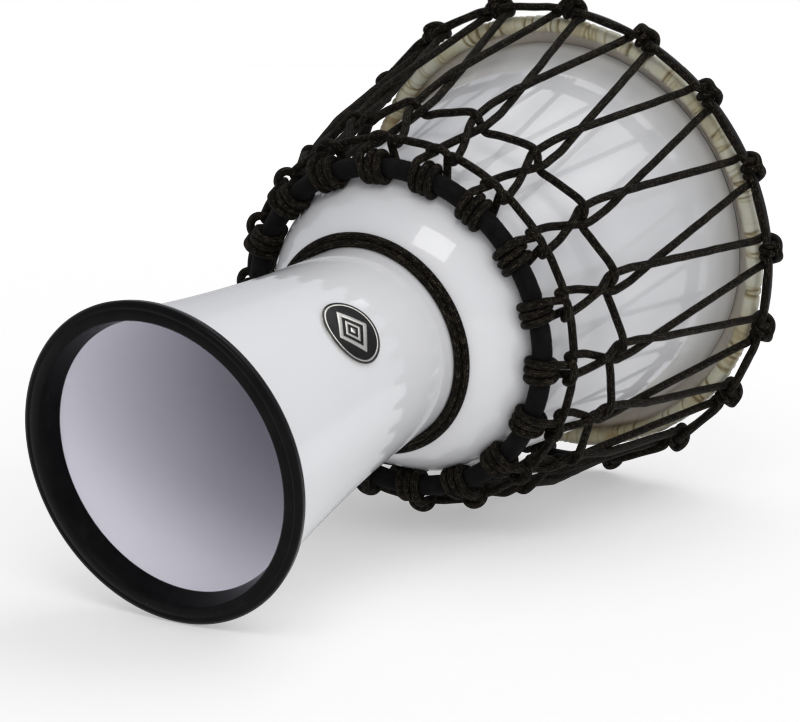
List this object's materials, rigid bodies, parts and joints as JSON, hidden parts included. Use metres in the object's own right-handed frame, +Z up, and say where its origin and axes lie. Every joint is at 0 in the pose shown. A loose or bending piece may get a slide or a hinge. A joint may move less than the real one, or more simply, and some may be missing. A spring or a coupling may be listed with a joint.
{
  "type": "rope-tuned goblet drum",
  "caption": "Goblet hand drum with a flared hollow stem, a rope-tuned skin head on a round bowl and a rubber ring on its foot.",
  "frame": {"origin": "centre of the foot ring's resting face", "axes": "+Z up the drum's axis from foot to head; -Y through the middle of the badge"},
  "size_m": [0.2266, 0.2273, 0.313],
  "materials": {
    "shell_white": "clear gloss over white gel coat",
    "foot_rubber": "semi-gloss moulded rubber",
    "braided_rope": "braided low-stretch polyester, black with brown flecks",
    "ring_steel": "zinc plated",
    "hoop_cloth": "matt black sewn cloth",
    "sleeve_plastic": "heat-shrunk",
    "ring_black": "powder coated",
    "goatskin": "raw goatskin",
    "badge_metal": "polished nickel",
    "badge_enamel": "black enamel"
  },
  "bodies": {
    "shell": {"stem_shell": "shell_white", "bowl_shell": "shell_white", "foot_ring": "foot_rubber", "neck_cord": "braided_rope", "tuning_hoop": "ring_steel", "hoop_cloth": "hoop_cloth", "hoop_rope": "braided_rope", "tension_rope": "braided_rope", "weave_rope": "braided_rope", "rope_sleeves": "sleeve_plastic", "drum_skin": "goatskin", "badge_plate": "badge_metal", "badge_rim": "badge_metal", "badge_inlay": "badge_enamel"},
    "crown": {"crown_ring": "ring_black", "crown_rope": "braided_rope", "crown_sleeve": "sleeve_plastic", "flesh_ring": "ring_steel"}
  },
  "joints": [
    {"name": "tuning_travel", "type": "slide", "parent": "shell", "child": "crown", "axis": [0, 0, 1], "range_m": [-0.006, 0.001], "deforming": ["tension_rope", "drum_skin"]}
  ]
}
